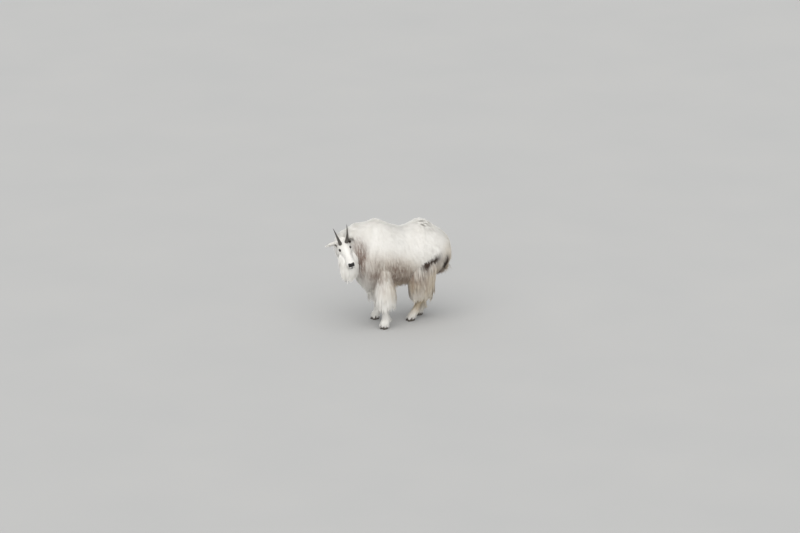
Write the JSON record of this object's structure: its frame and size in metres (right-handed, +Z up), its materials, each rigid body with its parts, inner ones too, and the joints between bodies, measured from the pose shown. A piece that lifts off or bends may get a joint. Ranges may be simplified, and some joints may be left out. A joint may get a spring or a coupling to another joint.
{
  "type": "mountain goat",
  "caption": "White long-coated mountain goat standing with gathered feet, head turned to look past its left side, with short black horns, a beard and shaggy leg hair",
  "frame": {"origin": "the point of the floor under the middle of the whole animal's box", "axes": "+Z up; the body points along -X, so the goat's left side faces -Y; the head is turned to look along -Y"},
  "size_m": [1.3392, 0.4769, 1.1236],
  "materials": {
    "coat": "long matt hair",
    "lower_coat": "long matt hair, tanned below",
    "face": "short matt hair",
    "horn": "satin keratin",
    "hoof": "worn keratin",
    "eye": "wet and glossy"
  },
  "bodies": {
    "root": {"eye_left": "eye", "eye_right": "eye", "ear_left": "face", "ear_right": "face", "horn_left": "horn", "horn_right": "horn", "beard": "coat", "head": "face", "neck": "coat", "torso": "coat", "tail": "coat", "upper_leg_front_left": "lower_coat", "upper_leg_front_right": "lower_coat", "upper_leg_hind_left": "lower_coat", "upper_leg_hind_right": "lower_coat", "lower_leg_front_left": "face", "lower_leg_front_right": "face", "lower_leg_hind_left": "face", "lower_leg_hind_right": "face", "hoof_front_left_outer": "hoof", "hoof_front_left_inner": "hoof", "hoof_front_right_outer": "hoof", "hoof_front_right_inner": "hoof", "hoof_hind_left_outer": "hoof", "hoof_hind_left_inner": "hoof", "hoof_hind_right_outer": "hoof", "hoof_hind_right_inner": "hoof"}
  },
  "joints": []
}
